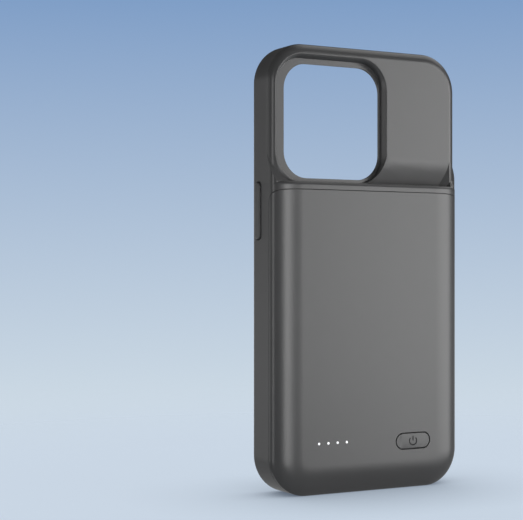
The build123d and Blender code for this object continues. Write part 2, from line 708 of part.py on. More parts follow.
with BuildPart() as battery_cover:
    add(housing.part)
    add(cover_space, mode=Mode.INTERSECT)
    add(bulge(COVER_WALL, pocket_floor, bend_start - COVER_WALL), mode=Mode.SUBTRACT)
    # Wall that seats on the bumper, carried on as a tongue inside its mouth; it ends just inside the back
    with BuildSketch(at_depth(frame_back)):
        mouth_outline(-SEAT_WIDTH)
        mouth_outline(tongue_inset, mode=Mode.SUBTRACT)
    extrude(amount=cover_inside - frame_back + SEAT_SINK)
    with BuildSketch(at_depth(frame_back - TONGUE_DEPTH)):
        mouth_outline(TONGUE_GAP)
        mouth_outline(tongue_inset, mode=Mode.SUBTRACT)
    extrude(amount=TONGUE_DEPTH)
    # Gap in that wall over the socket, and the socket's slot in the bottom
    with BuildSketch(at_depth(frame_back - TONGUE_DEPTH)):
        plain_box(-CHIN_HALF, CHIN_HALF, COVER_WALL, board_bottom)
    extrude(amount=cover_inside - frame_back + TONGUE_DEPTH - COVER_WALL, mode=Mode.SUBTRACT)
    with BuildSketch(Plane.XY):
        with Locations((0, y_at(board_middle))):
            SlotOverall(SOCKET_WIDTH + 2 * SOCKET_PLAY, SOCKET_THICKNESS + 2 * SOCKET_PLAY)
    extrude(amount=board_bottom, mode=Mode.SUBTRACT)
    # Screw bosses that reach down to the chassis
    with BuildSketch(at_depth(plate_back)):
        with Locations(*boss_places):
            Circle(BOSS_DIAMETER / 2)
    extrude(amount=cover_inside - plate_back + SEAT_SINK)
    with Locations(Plane(at_depth(plate_back).origin, x_dir=(-1, 0, 0), z_dir=(0, 1, 0))):
        with Locations(*boss_places):
            Hole(SCREW_DIAMETER / 2 + SCREW_PLAY / 2, depth=SCREW_LENGTH)
    # Openings for the power button and the charge lights
    with BuildSketch(at_depth(cover_inside - OVERCUT)):
        with Locations((button_x, BUTTON_HEIGHT)):
            SlotOverall(BUTTON_LENGTH + 2 * BUTTON_GAP, BUTTON_WIDTH + 2 * BUTTON_GAP)
        with Locations(*light_places):
            Circle(LIGHT_DIAMETER / 2 + LIGHT_GAP)
    extrude(amount=COVER_WALL + 2 * OVERCUT, mode=Mode.SUBTRACT)
save(battery_cover.part, "battery_cover")

with BuildPart() as chassis_screws:
    with Locations(Plane(at_depth(pocket_floor + SCREW_SINK).origin, x_dir=(-1, 0, 0), z_dir=(0, 1, 0))):
        with Locations(*boss_places):
            Cone(
                SCREW_DIAMETER / 2,
                SCREW_HEAD / 2,
                (SCREW_HEAD - SCREW_DIAMETER) / 2,
                align=(Align.CENTER, Align.CENTER, Align.MAX),
            )
            Cylinder(SCREW_DIAMETER / 2, SCREW_LENGTH, align=(Align.CENTER, Align.CENTER, Align.MAX))
            for turn in (0, QUARTER_TURN):
                Box(
                    SCREW_HEAD * SCREW_SLOT_SHARE,
                    SCREW_SLOT_WIDTH,
                    SCREW_SLOT_DEPTH,
                    rotation=(0, 0, turn),
                    align=(Align.CENTER, Align.CENTER, Align.MAX),
                    mode=Mode.SUBTRACT,
                )
save(chassis_screws.part, "chassis_screws")

save(key_body(-1, side_key_height, SIDE_KEY_LENGTH), "side_key")
save(key_body(1, volume_up_height, VOLUME_KEY_LENGTH), "volume_up_key")
save(key_body(1, volume_down_height, VOLUME_KEY_LENGTH), "volume_down_key")

with BuildPart() as power_button:
    with BuildSketch(at_depth(plunger_back)):
        with Locations((button_x, BUTTON_HEIGHT)):
            Circle(PLUNGER_DIAMETER / 2)
    extrude(amount=button_flange_front - plunger_back)
    with BuildSketch(at_depth(button_flange_front)):
        with Locations((button_x, BUTTON_HEIGHT)):
            SlotOverall(BUTTON_LENGTH + 2 * BUTTON_FLANGE, BUTTON_WIDTH + 2 * BUTTON_FLANGE)
    extrude(amount=BUTTON_FLANGE_THICKNESS)
    with BuildSketch(at_depth(button_flange_back)):
        with Locations((button_x, BUTTON_HEIGHT)):
            SlotOverall(BUTTON_LENGTH, BUTTON_WIDTH)
    extrude(amount=case_depth - button_flange_back)
    fillet(power_button.faces().sort_by(Axis.Y)[0].edges(), BUTTON_ROUND)
save(power_button.part, "power_button")

with BuildPart() as switch_plunger:
    with BuildSketch(at_depth(plunger_front)):
        with Locations((button_x, BUTTON_HEIGHT)):
            Circle(PLUNGER_DIAMETER / 2)
    extrude(amount=PLUNGER_LENGTH)
save(switch_plunger.part, "switch_plunger")

with BuildPart() as tact_switch:
    with BuildSketch(at_depth(board_back)):
        with Locations((button_x, BUTTON_HEIGHT)):
            Rectangle(SWITCH_SIZE, SWITCH_SIZE)
    extrude(amount=SWITCH_THICKNESS)
    with BuildSketch(at_depth(well_floor)):
        with Locations((button_x, BUTTON_HEIGHT)):
            Circle(PLUNGER_DIAMETER / 2 + PLUNGER_GAP)
    extrude(amount=switch_back - well_floor, mode=Mode.SUBTRACT)
save(tact_switch.part, "tact_switch")

with BuildPart() as light_guide:
    with BuildSketch(at_depth(cover_inside - LIGHT_BAR_THICKNESS)):
        with Locations((light_first + LIGHT_PITCH * (LIGHT_COUNT - 1) / 2, LIGHT_HEIGHT)):
            SlotOverall(LIGHT_PITCH * (LIGHT_COUNT - 1) + LIGHT_BAR_WIDTH, LIGHT_BAR_WIDTH)
    extrude(amount=LIGHT_BAR_THICKNESS)
    with BuildSketch(at_depth(cover_inside)):
        with Locations(*light_places):
            Circle(LIGHT_DIAMETER / 2)
    extrude(amount=COVER_WALL)
save(light_guide.part, "light_guide")

save(chips(light_places, (LED_LENGTH, LED_WIDTH), LED_THICKNESS), "status_leds")
save(chips([CONTROLLER_PLACE], (CONTROLLER_SIZE, CONTROLLER_SIZE), CONTROLLER_THICKNESS), "charge_controller")
save(chips(TRANSISTOR_PLACES, TRANSISTOR_SIZE, TRANSISTOR_THICKNESS), "power_transistors")
save(chips(capacitor_places, CAPACITOR_SIZE, CAPACITOR_THICKNESS), "capacitors")

with BuildPart() as boost_inductor:
    with BuildSketch(at_depth(board_back)):
        with Locations(inductor_place):
            RectangleRounded(INDUCTOR_SIZE, INDUCTOR_SIZE, INDUCTOR_CORNER)
    extrude(amount=INDUCTOR_THICKNESS)
save(boost_inductor.part, "boost_inductor")

with BuildPart() as main_board:
    with BuildSketch(at_depth(board_front)) as board_outline:
        plain_box(-board_half, board_half, board_bottom, board_top)
        fillet(board_outline.vertices().group_by(Axis.Y)[0], BOARD_CORNER)
        plain_box(-BOARD_TAB_HALF, BOARD_TAB_HALF, board_bottom - BOARD_TAB_DROP, board_top)
        socket_half = SOCKET_WIDTH / 2 + SOCKET_PLAY / 2
        socket_end = SOCKET_RECESS + SOCKET_LENGTH + SOCKET_PLAY / 2
        plain_box(-socket_half, socket_half, 0, socket_end, mode=Mode.SUBTRACT)
        with Locations(*board_screw_places):
            Circle(BOARD_SCREW_DIAMETER / 2 + SCREW_PLAY, mode=Mode.SUBTRACT)
    extrude(amount=BOARD_THICKNESS)
save(main_board.part, "main_board")

with BuildPart() as board_screws:
    with BuildSketch(at_depth(board_back)):
        with Locations(*board_screw_places):
            Circle(BOARD_SCREW_HEAD / 2)
    extrude(amount=BOARD_SCREW_HEAD_THICKNESS)
    with BuildSketch(at_depth(board_back + BOARD_SCREW_HEAD_THICKNESS)):
        with Locations(*board_screw_places):
            Rectangle(BOARD_SCREW_HEAD * SCREW_SLOT_SHARE, SCREW_SLOT_WIDTH)
            Rectangle(SCREW_SLOT_WIDTH, BOARD_SCREW_HEAD * SCREW_SLOT_SHARE)
    extrude(amount=-SCREW_SLOT_DEPTH, mode=Mode.SUBTRACT)
    with BuildSketch(at_depth(plate_back)):
        with Locations(*board_screw_places):
            Circle(BOARD_SCREW_DIAMETER / 2)
    extrude(amount=board_back - plate_back)
save(board_screws.part, "board_screws")

with BuildPart() as battery_cell:
    with BuildSketch(at_depth(cell_front)):
        plain_box(-cell_half, cell_half, cell_bottom, cell_top)
    extrude(amount=cell_back - cell_front)
    fillet(battery_cell.edges(), CELL_ROUND)
save(battery_cell.part, "battery_cell")

with BuildPart() as cell_tape:
    with BuildSketch(at_depth(plate_back)):
        for side in (-1, 1):
            with Locations((side * cell_half / 2, cell_middle)):
                Rectangle(TAPE_WIDTH, cell_top - cell_bottom - 2 * TAPE_MARGIN)
    extrude(amount=TAPE_THICKNESS)
save(cell_tape.part, "cell_tape")

with BuildPart() as cell_foam:
    with BuildSketch(at_depth(cell_back)):
        with Locations((0, cell_middle)):
            Rectangle(FOAM_WIDTH, FOAM_HEIGHT)
    extrude(amount=FOAM_THICKNESS)
save(cell_foam.part, "cell_foam")

with BuildPart() as protection_board:
    with BuildSketch(at_depth(board_front)):
        plain_box(-GUARD_WIDTH / 2, GUARD_WIDTH / 2, guard_bottom, guard_top)
    extrude(amount=BOARD_THICKNESS)
save(protection_board.part, "protection_board")

with BuildPart() as cell_tabs:
    with BuildSketch(at_depth(board_back)):
        for side in (-1, 1):
            with Locations((side * TAB_SPACING / 2, (guard_top - TAB_OVERLAP + cell_bottom) / 2)):
                Rectangle(TAB_WIDTH, cell_bottom - guard_top + TAB_OVERLAP)
    extrude(amount=TAB_THICKNESS)
save(cell_tabs.part, "cell_tabs")

save(lead(LEAD_X), "lead_positive")
save(lead(LEAD_X + LEAD_SPACING), "lead_negative")

with BuildPart() as charge_socket_shell:
    with BuildSketch(Plane.XY.offset(SOCKET_RECESS)):
        with Locations((0, y_at(board_middle))):
            SlotOverall(SOCKET_WIDTH, SOCKET_THICKNESS)
            SlotOverall(
                SOCKET_WIDTH - 2 * SOCKET_WALL, SOCKET_THICKNESS - 2 * SOCKET_WALL, mode=Mode.SUBTRACT
            )
    extrude(amount=SOCKET_LENGTH)
save(charge_socket_shell.part, "charge_socket_shell")

with BuildPart() as charge_socket_insert:
    with BuildSketch(Plane.XY.offset(SOCKET_RECESS + SOCKET_LENGTH - SOCKET_BASE)):
        with Locations((0, y_at(board_middle))):
            SlotOverall(SOCKET_WIDTH - 2 * SOCKET_WALL, SOCKET_THICKNESS - 2 * SOCKET_WALL)
    extrude(amount=SOCKET_BASE)
    with BuildSketch(Plane.XY.offset(SOCKET_RECESS + TONGUE_SETBACK)):
        with Locations((0, y_at(board_middle))):
            Rectangle(TONGUE_WIDTH, TONGUE_THICKNESS)
    extrude(amount=SOCKET_LENGTH - TONGUE_SETBACK - SOCKET_BASE)
save(charge_socket_insert.part, "charge_socket_insert")

with BuildPart() as plug_board:
    with BuildSketch(Plane.XY.offset(CHIN_FLOOR)):
        plain_box(-PLUG_BOARD_WIDTH / 2, PLUG_BOARD_WIDTH / 2, y_at(plug_board_back), y_at(plug_board_front))
    extrude(amount=BOARD_THICKNESS)
save(plug_board.part, "plug_board")

with BuildPart() as plug_collar:
    with BuildSketch(Plane.XY.offset(plug_board_top)):
        with Locations((0, y_at(phone_middle))):
            SlotOverall(PLUG_COLLAR_WIDTH, PLUG_COLLAR_THICKNESS)
            SlotOverall(PLUG_WIDTH, PLUG_THICKNESS, mode=Mode.SUBTRACT)
    extrude(amount=plug_shelf_low - plug_board_top)
save(plug_collar.part, "plug_collar")

with BuildPart() as plug_shell:
    with BuildSketch(Plane.XY.offset(plug_board_top)):
        with Locations((0, y_at(phone_middle))):
            SlotOverall(PLUG_WIDTH, PLUG_THICKNESS)
            SlotOverall(PLUG_WIDTH - 2 * PLUG_WALL, PLUG_THICKNESS - 2 * PLUG_WALL, mode=Mode.SUBTRACT)
    extrude(amount=plug_top - plug_board_top)
save(plug_shell.part, "plug_shell")

with BuildPart() as plug_core:
    with BuildSketch(Plane.XY.offset(plug_board_top)):
        with Locations((0, y_at(phone_middle))):
            SlotOverall(PLUG_WIDTH - 2 * PLUG_WALL, PLUG_THICKNESS - 2 * PLUG_WALL)
    extrude(amount=plug_top - PLUG_CORE_SETBACK - plug_board_top)
    with BuildSketch(Plane.XY.offset(plug_board_top + PLUG_CORE_BASE)):
        with Locations((0, y_at(phone_middle))):
            Rectangle(PLUG_WIDTH - PLUG_THICKNESS, PLUG_MOUTH)
    extrude(amount=PLUG_LENGTH + CHIN, mode=Mode.SUBTRACT)
save(plug_core.part, "plug_core")

with BuildPart() as plug_flex:
    with BuildLine(Plane.YZ.offset(FLEX_X)) as flex_route:
        FilletPolyline(
            (y_at(plug_board_back - FLEX_OVERLAP), plug_board_top + FLEX_THICKNESS / 2),
            (y_at(board_front - FLEX_THICKNESS / 2), plug_board_top + FLEX_THICKNESS / 2),
            (y_at(board_front - FLEX_THICKNESS / 2), board_bottom + FLEX_RISE),
            radius=FLEX_BEND,
        )
    with BuildSketch(Plane(flex_route.line @ 0, x_dir=(1, 0, 0), z_dir=flex_route.line % 0)):
        Rectangle(FLEX_WIDTH, FLEX_THICKNESS)
    sweep()
save(plug_flex.part, "plug_flex")
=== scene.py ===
import math

import bmesh
import bpy
from bpy.props import FloatProperty, FloatVectorProperty, IntProperty, PointerProperty
from mathutils import Euler, Matrix, Vector


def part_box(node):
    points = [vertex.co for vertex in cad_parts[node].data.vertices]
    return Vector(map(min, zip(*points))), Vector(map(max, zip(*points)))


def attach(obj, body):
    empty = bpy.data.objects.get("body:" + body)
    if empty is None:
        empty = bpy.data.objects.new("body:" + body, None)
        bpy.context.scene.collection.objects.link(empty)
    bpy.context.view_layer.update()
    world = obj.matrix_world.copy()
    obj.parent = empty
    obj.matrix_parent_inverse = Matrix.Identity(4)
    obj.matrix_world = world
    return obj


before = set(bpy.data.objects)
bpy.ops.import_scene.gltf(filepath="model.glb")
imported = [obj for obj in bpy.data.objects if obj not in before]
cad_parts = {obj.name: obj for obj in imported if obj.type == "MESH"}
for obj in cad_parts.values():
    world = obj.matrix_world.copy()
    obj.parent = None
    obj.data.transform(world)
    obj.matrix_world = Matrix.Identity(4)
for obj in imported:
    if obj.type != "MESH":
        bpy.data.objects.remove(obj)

bl_info = {
    "name": "Battery Charging Case",
    "version": (1, 0, 0),
    "blender": (4, 5, 0),
    "location": "3D View > Sidebar > Case",
    "description": "Finishes, small pieces and the stage of a battery charging case",
    "category": "Object",
}

TOWARDS_BACK = Vector((0, -1, 0))
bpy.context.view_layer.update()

# Battery shoulder as the solid has it: its reach and rise, its outline's corner and how far that runs low
SHOULDER_REACH = 0.011
SHOULDER_RISE = 0.004
SHOULDER_DROP = 0.0005
CASE_CORNER = 0.0135
# A point belongs to the shoulder where its normal and the exact one have at least this cosine
SHOULDER_MATCH = 0.985
# Floors that keep the shoulder's divisions finite
SMALL_LENGTH = 1e-6
SMALL_SHARE = 1e-4

# Moulded plastic: width of its clouds in grains, their detail, and how far they change colour and gloss
CLOUD_WIDTH = 60
CLOUD_DETAIL = 3.0
CLOUD_TINT = 0.05
GLOSS_SPREAD = 0.03
EDGE_SAMPLES = 6
# Drawn metal: scale of its lines along their length, and what they do to detail, colour, gloss and height
LINE_SCALE = (1.0, 1.0, 0.05)
LINE_DETAIL = 3.0
LINE_TINT = 0.1
LINE_GLOSS = 0.15
LINE_DEPTH = 0.000004
# Light guide: width of its clouds, and how far they change its colour, glow and gloss
MILK_WIDTH = 0.0006
MILK_TINT = 0.04
MILK_GLOW = 0.06
MILK_ROUGHNESS = 0.25
MILK_GLOSS = 0.1
LIGHT_COLOUR = (0.93, 0.94, 0.95)
LIGHT_STRENGTH = 0.9
# Circuit board: cells to a metre, where mask turns to track, and the board's gloss and relief
TRACK_SCALE = 900.0
TRACK_STOPS = [(0.46, (0.0, 0.0, 0.0)), (0.5, (1.0, 1.0, 1.0))]
TRACK_DEPTH = 0.00001
BOARD_ROUGHNESS = 0.4
MASK_GREEN = (0.01, 0.09, 0.04)
TRACK_GREEN = (0.03, 0.2, 0.08)

# Plastics by name: colour, roughness, size and depth of the grain, and the nodes that have it
POCKET_PLASTICS = {
    "chassis_plastic": ((0.03, 0.03, 0.031), 0.5, 0.0005, 0.00002, ("inner_chassis",)),
    "connector_black": (
        (0.012, 0.012, 0.013), 0.4, 0.0002, 0.000005, ("plug_core", "plug_collar", "charge_socket_insert"),
    ),
}
INSIDE_PLASTICS = {
    "chip_black": (
        (0.02, 0.02, 0.021), 0.5, 0.0001, 0.000005,
        ("charge_controller", "power_transistors", "tact_switch", "switch_plunger", "boost_inductor"),
    ),
    "ceramic_tan": ((0.38, 0.26, 0.16), 0.5, 0.0001, 0.000003, ("capacitors",)),
    "tape_black": ((0.02, 0.02, 0.02), 0.6, 0.0004, 0.00001, ("cell_tape",)),
    "foam_black": ((0.03, 0.03, 0.03), 0.9, 0.0006, 0.0001, ("cell_foam",)),
    "lead_red_skin": ((0.45, 0.02, 0.02), 0.4, 0.0003, 0.000004, ("lead_positive",)),
    "lead_black_skin": ((0.02, 0.02, 0.02), 0.4, 0.0003, 0.000004, ("lead_negative",)),
    "flex_amber": ((0.36, 0.17, 0.03), 0.3, 0.0004, 0.000002, ("plug_flex",)),
}
# Metals by name: colour, roughness, width of the lines, and the nodes that have it
POCKET_METALS = {
    "screw_steel": ((0.3, 0.3, 0.31), 0.3, 0.0004, ("chassis_screws", "board_screws")),
    "connector_steel": ((0.56, 0.56, 0.57), 0.25, 0.0003, ("plug_shell", "charge_socket_shell")),
}
INSIDE_METALS = {
    "cell_foil": ((0.6, 0.61, 0.63), 0.35, 0.0005, ("battery_cell",)),
    "tab_nickel": ((0.6, 0.58, 0.54), 0.3, 0.0003, ("cell_tabs",)),
}
CONTACT_GOLD = ((0.72, 0.46, 0.16), 0.25, 0.0003)
# Ink of the power symbol: roughness, size and depth of the grain
MARK_INK = (0.85, 0.0002, 0.000002)
RING_STEPS = 48

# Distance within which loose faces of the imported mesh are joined, and how strongly large faces lead
JOIN_DISTANCE = 0.000002
LEAD_WEIGHT = 60
# New pieces: vertices nearer than this are one
MERGE_DISTANCE = 1e-7

# Contacts: half the socket's tongue, half the plug's slot, and how far the contacts start inside each
TONGUE_HALF = 0.00035
SLOT_HALF = 0.0005
SOCKET_SETBACK = 0.0008
PLUG_SETBACK = 0.0006

LAMP_TARGET = Vector((0, 0, 0.0775))
LAMP_DISTANCE = 2.4
# Lamps by name: turn, rise, width and height in degrees, and whether the case mirrors the lamp
LAMPS = {
    "key": (-48, 2, 40, 32, True),
    "strip": (-3, 2, 15, 32, True),
    "rim": (62, 2, 16, 32, True),
    "side": (124, 2, 52, 32, True),
    "top": (-100, 50, 50, 40, True),
    "fill": (180, 12, 70, 50, False),
    "front": (180, 0, 24, 16, True),
}
# Floor: corners of its outline, gloss, where it starts to fade, share of its radius where it is gone, and
# rays that find where its painted shadow falls
FLOOR_SEGMENTS = 96
FLOOR_ROUGHNESS = 0.6
FADE_START = 0.12
FADE_END = 0.8
PAINTED_SHADOW_SAMPLES = 16
# Height of the view's direction at which the backdrop has its low and its high colour
SKY_LOW = -0.1
SKY_HIGH = 0.2


class ShellSettings(bpy.types.PropertyGroup):
    """Finish of the case's soft outside."""

    colour: FloatVectorProperty(
        name="Colour", description="Dark grey of the shell", subtype="COLOR", size=3, min=0, max=1,
        default=(0.064, 0.064, 0.065),
    )
    roughness: FloatProperty(
        name="Roughness", description="How dull the soft-touch coat is", subtype="FACTOR", min=0, max=1,
        default=0.29,
    )
    grain_size: FloatProperty(
        name="Grain size", description="Width of one grain of the moulded texture", unit="LENGTH",
        precision=5, default=0.00016,
    )
    grain_depth: FloatProperty(
        name="Grain depth", description="Depth of the moulded texture", unit="LENGTH", precision=6,
        default=0.000003,
    )
    edge_round: FloatProperty(
        name="Edge round", description="Radius that eases the shell's sharp edges", unit="LENGTH",
        precision=5, default=0.0001,
    )
    smooth_angle: FloatProperty(
        name="Smooth angle", description="Edges flatter than this are shaded smooth", subtype="ANGLE",
        default=math.radians(30),
    )


class MarkSettings(bpy.types.PropertyGroup):
    """Power symbol printed on the button."""

    diameter: FloatProperty(
        name="Diameter", description="Outer diameter of the symbol's ring", unit="LENGTH", precision=5,
        default=0.0034,
    )
    stroke: FloatProperty(
        name="Stroke", description="Width of the printed line", unit="LENGTH", precision=5, default=0.0004,
    )
    opening: FloatProperty(
        name="Opening", description="Angle left open at the top of the ring", subtype="ANGLE",
        default=math.radians(95),
    )
    bar_top: FloatProperty(
        name="Bar top", description="How far the bar stands above the ring's middle", unit="LENGTH",
        precision=5, default=0.0017,
    )
    thickness: FloatProperty(
        name="Thickness", description="Height of the ink above the button", unit="LENGTH", precision=6,
        default=0.00003,
    )
    colour: FloatVectorProperty(
        name="Colour", description="Ink of the symbol", subtype="COLOR", size=3, min=0, max=1,
        default=(0.012, 0.012, 0.013),
    )


class ContactSettings(bpy.types.PropertyGroup):
    """Gold contacts of the charging socket and of the plug."""

    count: IntProperty(name="Count", description="Contacts on each side of a tongue", min=2, default=12)
    pitch: FloatProperty(
        name="Pitch", description="Distance from one contact to the next", unit="LENGTH", precision=5,
        default=0.0005,
    )
    width: FloatProperty(
        name="Width", description="Width of one contact", unit="LENGTH", precision=5, default=0.00026,
    )
    length: FloatProperty(
        name="Length", description="Length of one contact", unit="LENGTH", precision=5, default=0.0032,
    )
    thickness: FloatProperty(
        name="Thickness", description="Height of a contact above the plastic", unit="LENGTH", precision=6,
        default=0.00005,
    )


class StageSettings(bpy.types.PropertyGroup):
    """Floor, backdrop, lamps and camera."""

    floor_colour: FloatVectorProperty(
        name="Floor", description="Colour of the pale floor", subtype="COLOR", size=3, min=0, max=1,
        default=(0.66, 0.76, 0.88),
    )
    # Painted shadow: the floor's glow turns to this colour right under the case, and this is how far it
    # spreads
    painted_shadow_colour: FloatVectorProperty(
        name="Shadow", description="Colour of the floor right under the case", subtype="COLOR", size=3, min=0,
        max=1, default=(0.12, 0.15, 0.2),
    )
    painted_shadow_reach: FloatProperty(
        name="Shadow reach", description="How far the case's shadow spreads on the floor", unit="LENGTH",
        default=0.05,
    )
    sky_low: FloatVectorProperty(
        name="Backdrop low", description="Backdrop colour near the floor", subtype="COLOR", size=3, min=0,
        max=1, default=(0.61, 0.7, 0.78),
    )
    sky_high: FloatVectorProperty(
        name="Backdrop high", description="Backdrop colour at the top", subtype="COLOR", size=3, min=0,
        max=1, default=(0.2, 0.33, 0.56),
    )
    floor_radius: FloatProperty(
        name="Floor radius", description="Radius of the round floor", unit="LENGTH", default=0.6,
    )
    floor_glow: FloatProperty(
        name="Floor glow", description="Share of the floor that keeps its own colour in the picture",
        subtype="FACTOR", min=0, max=1, default=0.8,
    )
    ambient: FloatProperty(
        name="Ambient", description="Strength of the soft light from all round", min=0, default=0.05,
    )
    bounce: FloatProperty(
        name="Bounce", description="Strength of the light that comes up from the floor", min=0, default=0.4,
    )
    key_level: FloatProperty(
        name="Key", description="Brightness of the wide lamp behind, on the right", min=0, default=4.2,
    )
    strip_level: FloatProperty(
        name="Strip", description="Brightness of the narrow lamp straight behind", min=0, default=6.2,
    )
    rim_level: FloatProperty(
        name="Rim", description="Brightness of the narrow lamp that lights the left edge", min=0, default=2.8,
    )
    side_level: FloatProperty(
        name="Side", description="Brightness of the large soft lamp on the left", min=0, default=0.62,
    )
    top_level: FloatProperty(
        name="Top", description="Brightness of the high lamp on the right", min=0, default=1.1,
    )
    fill_level: FloatProperty(
        name="Fill", description="Brightness of the soft lamp that lights the pocket", min=0, default=2.0,
    )
    front_level: FloatProperty(
        name="Front", description="Brightness of the lamp that the pocket mirrors", min=0, default=1.0,
    )
    camera_place: FloatVectorProperty(
        name="Camera place", description="Where the camera stands", subtype="TRANSLATION", unit="LENGTH",
        size=3, default=(-0.26666, -0.41828, 0.0775),
    )
    camera_turn: FloatProperty(
        name="Camera turn", description="Turn of the camera about the vertical", subtype="ANGLE",
        default=math.radians(-28.563),
    )
    focal_length: FloatProperty(
        name="Focal length", description="Lens of the camera in millimetres", default=96.13,
    )
    shift_up: FloatProperty(
        name="Shift", description="Vertical shift that the photograph's framing needs", default=0.018,
    )


class Value:
    """A shader socket that can be used in Python expressions."""

    def __init__(self, finish, socket):
        self.finish = finish
        self.socket = socket

    def combine(self, operation, first, second):
        """Math node on two values."""
        return self.finish.node("ShaderNodeMath", {"operation": operation}, {0: first, 1: second}, "Value")

    def __add__(self, other):
        return self.combine("ADD", self, other)

    def __radd__(self, other):
        return self.combine("ADD", other, self)

    def __sub__(self, other):
        return self.combine("SUBTRACT", self, other)

    def __rsub__(self, other):
        return self.combine("SUBTRACT", other, self)

    def __mul__(self, other):
        return self.combine("MULTIPLY", self, other)

    def __rmul__(self, other):
        return self.combine("MULTIPLY", other, self)

    def __truediv__(self, other):
        return self.combine("DIVIDE", self, other)

    def __rtruediv__(self, other):
        return self.combine("DIVIDE", other, self)

    def __pow__(self, other):
        return self.combine("POWER", self, other)

    def __rpow__(self, other):
        return self.combine("POWER", other, self)

    def __gt__(self, other):
        return self.combine("GREATER_THAN", self, other)

    def __lt__(self, other):
        return self.combine("LESS_THAN", self, other)

    def __abs__(self):
        return self.combine("ABSOLUTE", self, 0.0)

    def at_least(self, other):
        return self.combine("MAXIMUM", self, other)


class Finish:
    """A node tree that gets its nodes one at a time."""

    def __init__(self, tree):
        self.tree = tree
        self.tree.nodes.clear()

    def node(self, kind, settings, inputs, output):
        """Add a node, set it up, fill its sockets with values or links, and return one of its outputs."""
        made = self.tree.nodes.new(kind)
        for name, setting in settings.items():
            if name == "stops":
                for element, (place, colour) in zip(made.color_ramp.elements, setting):
                    element.position = place
                    element.color = (*colour, 1.0)
            else:
                setattr(made, name, setting)
        by_identifier = {socket.identifier: socket for socket in made.inputs}
        for name, value in inputs.items():
            socket = by_identifier.get(name) or made.inputs[name]
            if isinstance(value, Value):
                self.tree.links.new(value.socket, socket)
            else:
                socket.default_value = value
        if output is None:
            return None
        found = {socket.identifier: socket for socket in made.outputs}.get(output)
        return Value(self, found or made.outputs[output])

    def mix(self, factor, first, second):
        """Colour between two colours."""
        inputs = {"Factor_Float": factor, "A_Color": first, "B_Color": second}
        return self.node("ShaderNodeMix", {"data_type": "RGBA"}, inputs, "Result_Color")

    def place(self):
        """Coordinates of the object, in metres."""
        return self.node("ShaderNodeTexCoord", {}, {}, "Object")

    def camera_ray(self):
        """1 for what the camera sees directly, otherwise 0."""
        return self.node("ShaderNodeLightPath", {}, {}, "Is Camera Ray")

    def noise(self, size, detail=2.0):
        """Even noise whose features have a given size in metres."""
        inputs = {"Vector": self.place(), "Scale": 1.0 / size, "Detail": detail}
        return self.node("ShaderNodeTexNoise", {}, inputs, "Fac")

    def bump(self, height, depth, base=None):
        """Normal of a surface that rises by a depth where the height is 1, over a base normal."""
        inputs = {"Height": height, "Distance": depth, "Strength": 1.0}
        if base:
            inputs["Normal"] = base
        return self.node("ShaderNodeBump", {}, inputs, "Normal")

    def eased(self, radius):
        """Normal with the sharp edges eased by a radius."""
        return self.node("ShaderNodeBevel", {"samples": EDGE_SAMPLES}, {"Radius": radius}, "Normal")

    def shoulder(self, base):
        """Exact normal of the battery's elliptical shoulder where a base normal is close to it."""
        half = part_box("battery_cover")[1].x
        x, z = [self.node("ShaderNodeSeparateXYZ", {}, {0: self.place()}, axis) for axis in "XZ"]
        beside = (abs(x) - (half - CASE_CORNER)).at_least(0.0)
        under = (CASE_CORNER - SHOULDER_DROP - z).at_least(0.0)
        away = ((beside ** 2.0 + under ** 2.0) ** 0.5).at_least(SMALL_LENGTH)
        along = ((away + (SHOULDER_REACH - CASE_CORNER)) / SHOULDER_REACH).at_least(0.0)
        upright = (1.0 - along ** 2.0).at_least(SMALL_SHARE) ** 0.5
        tilt = along * (SHOULDER_RISE / SHOULDER_REACH) / upright
        side = x / abs(x).at_least(SMALL_LENGTH)
        slope = {0: tilt * side * beside / away, 1: -1.0, 2: 0.0 - tilt * under / away}
        vector = self.node("ShaderNodeCombineXYZ", {}, slope, "Vector")
        exact = self.node("ShaderNodeVectorMath", {"operation": "NORMALIZE"}, {0: vector}, "Vector")
        match = self.node("ShaderNodeVectorMath", {"operation": "DOT_PRODUCT"}, {0: exact, 1: base}, "Value")
        inputs = {"Factor_Float": match > SHOULDER_MATCH, "A_Vector": base, "B_Vector": exact}
        return self.node("ShaderNodeMix", {"data_type": "VECTOR"}, inputs, "Result_Vector")

    def coat(self, inputs):
        """Cover the surface with a Principled shader."""
        shader = self.node("ShaderNodeBsdfPrincipled", {}, inputs, "BSDF")
        self.surface(shader)

    def surface(self, shader):
        """Send a shader to the output."""
        self.node("ShaderNodeOutputMaterial", {}, {"Surface": shader}, None)


def new_finish(name):
    """Material with an empty node tree, and the tree's helper."""
    material = bpy.data.materials.new(name)
    material.use_nodes = True
    return material, Finish(material.node_tree)


def lighter(colour, share):
    """Colour with its brightness changed by a share, as a socket value."""
    return (*[min(1.0, channel * (1.0 + share)) for channel in colour], 1.0)


def moulded(name, colour, roughness, grain_size, grain_depth, edge_round=0.0, shoulder=False):
    """Moulded plastic or rubber: fine grain, slight clouding and uneven gloss, with its edges eased."""
    material, finish = new_finish(name)
    base = finish.eased(edge_round) if edge_round else None
    if shoulder:
        base = finish.shoulder(base)
    grain = finish.noise(grain_size)
    cloud = finish.noise(grain_size * CLOUD_WIDTH, CLOUD_DETAIL)
    finish.coat({
        "Base Color": finish.mix(cloud, lighter(colour, -CLOUD_TINT), lighter(colour, CLOUD_TINT)),
        "Roughness": roughness - GLOSS_SPREAD + cloud * GLOSS_SPREAD + grain * GLOSS_SPREAD,
        "Normal": finish.bump(grain, grain_depth, base),
    })
    return material


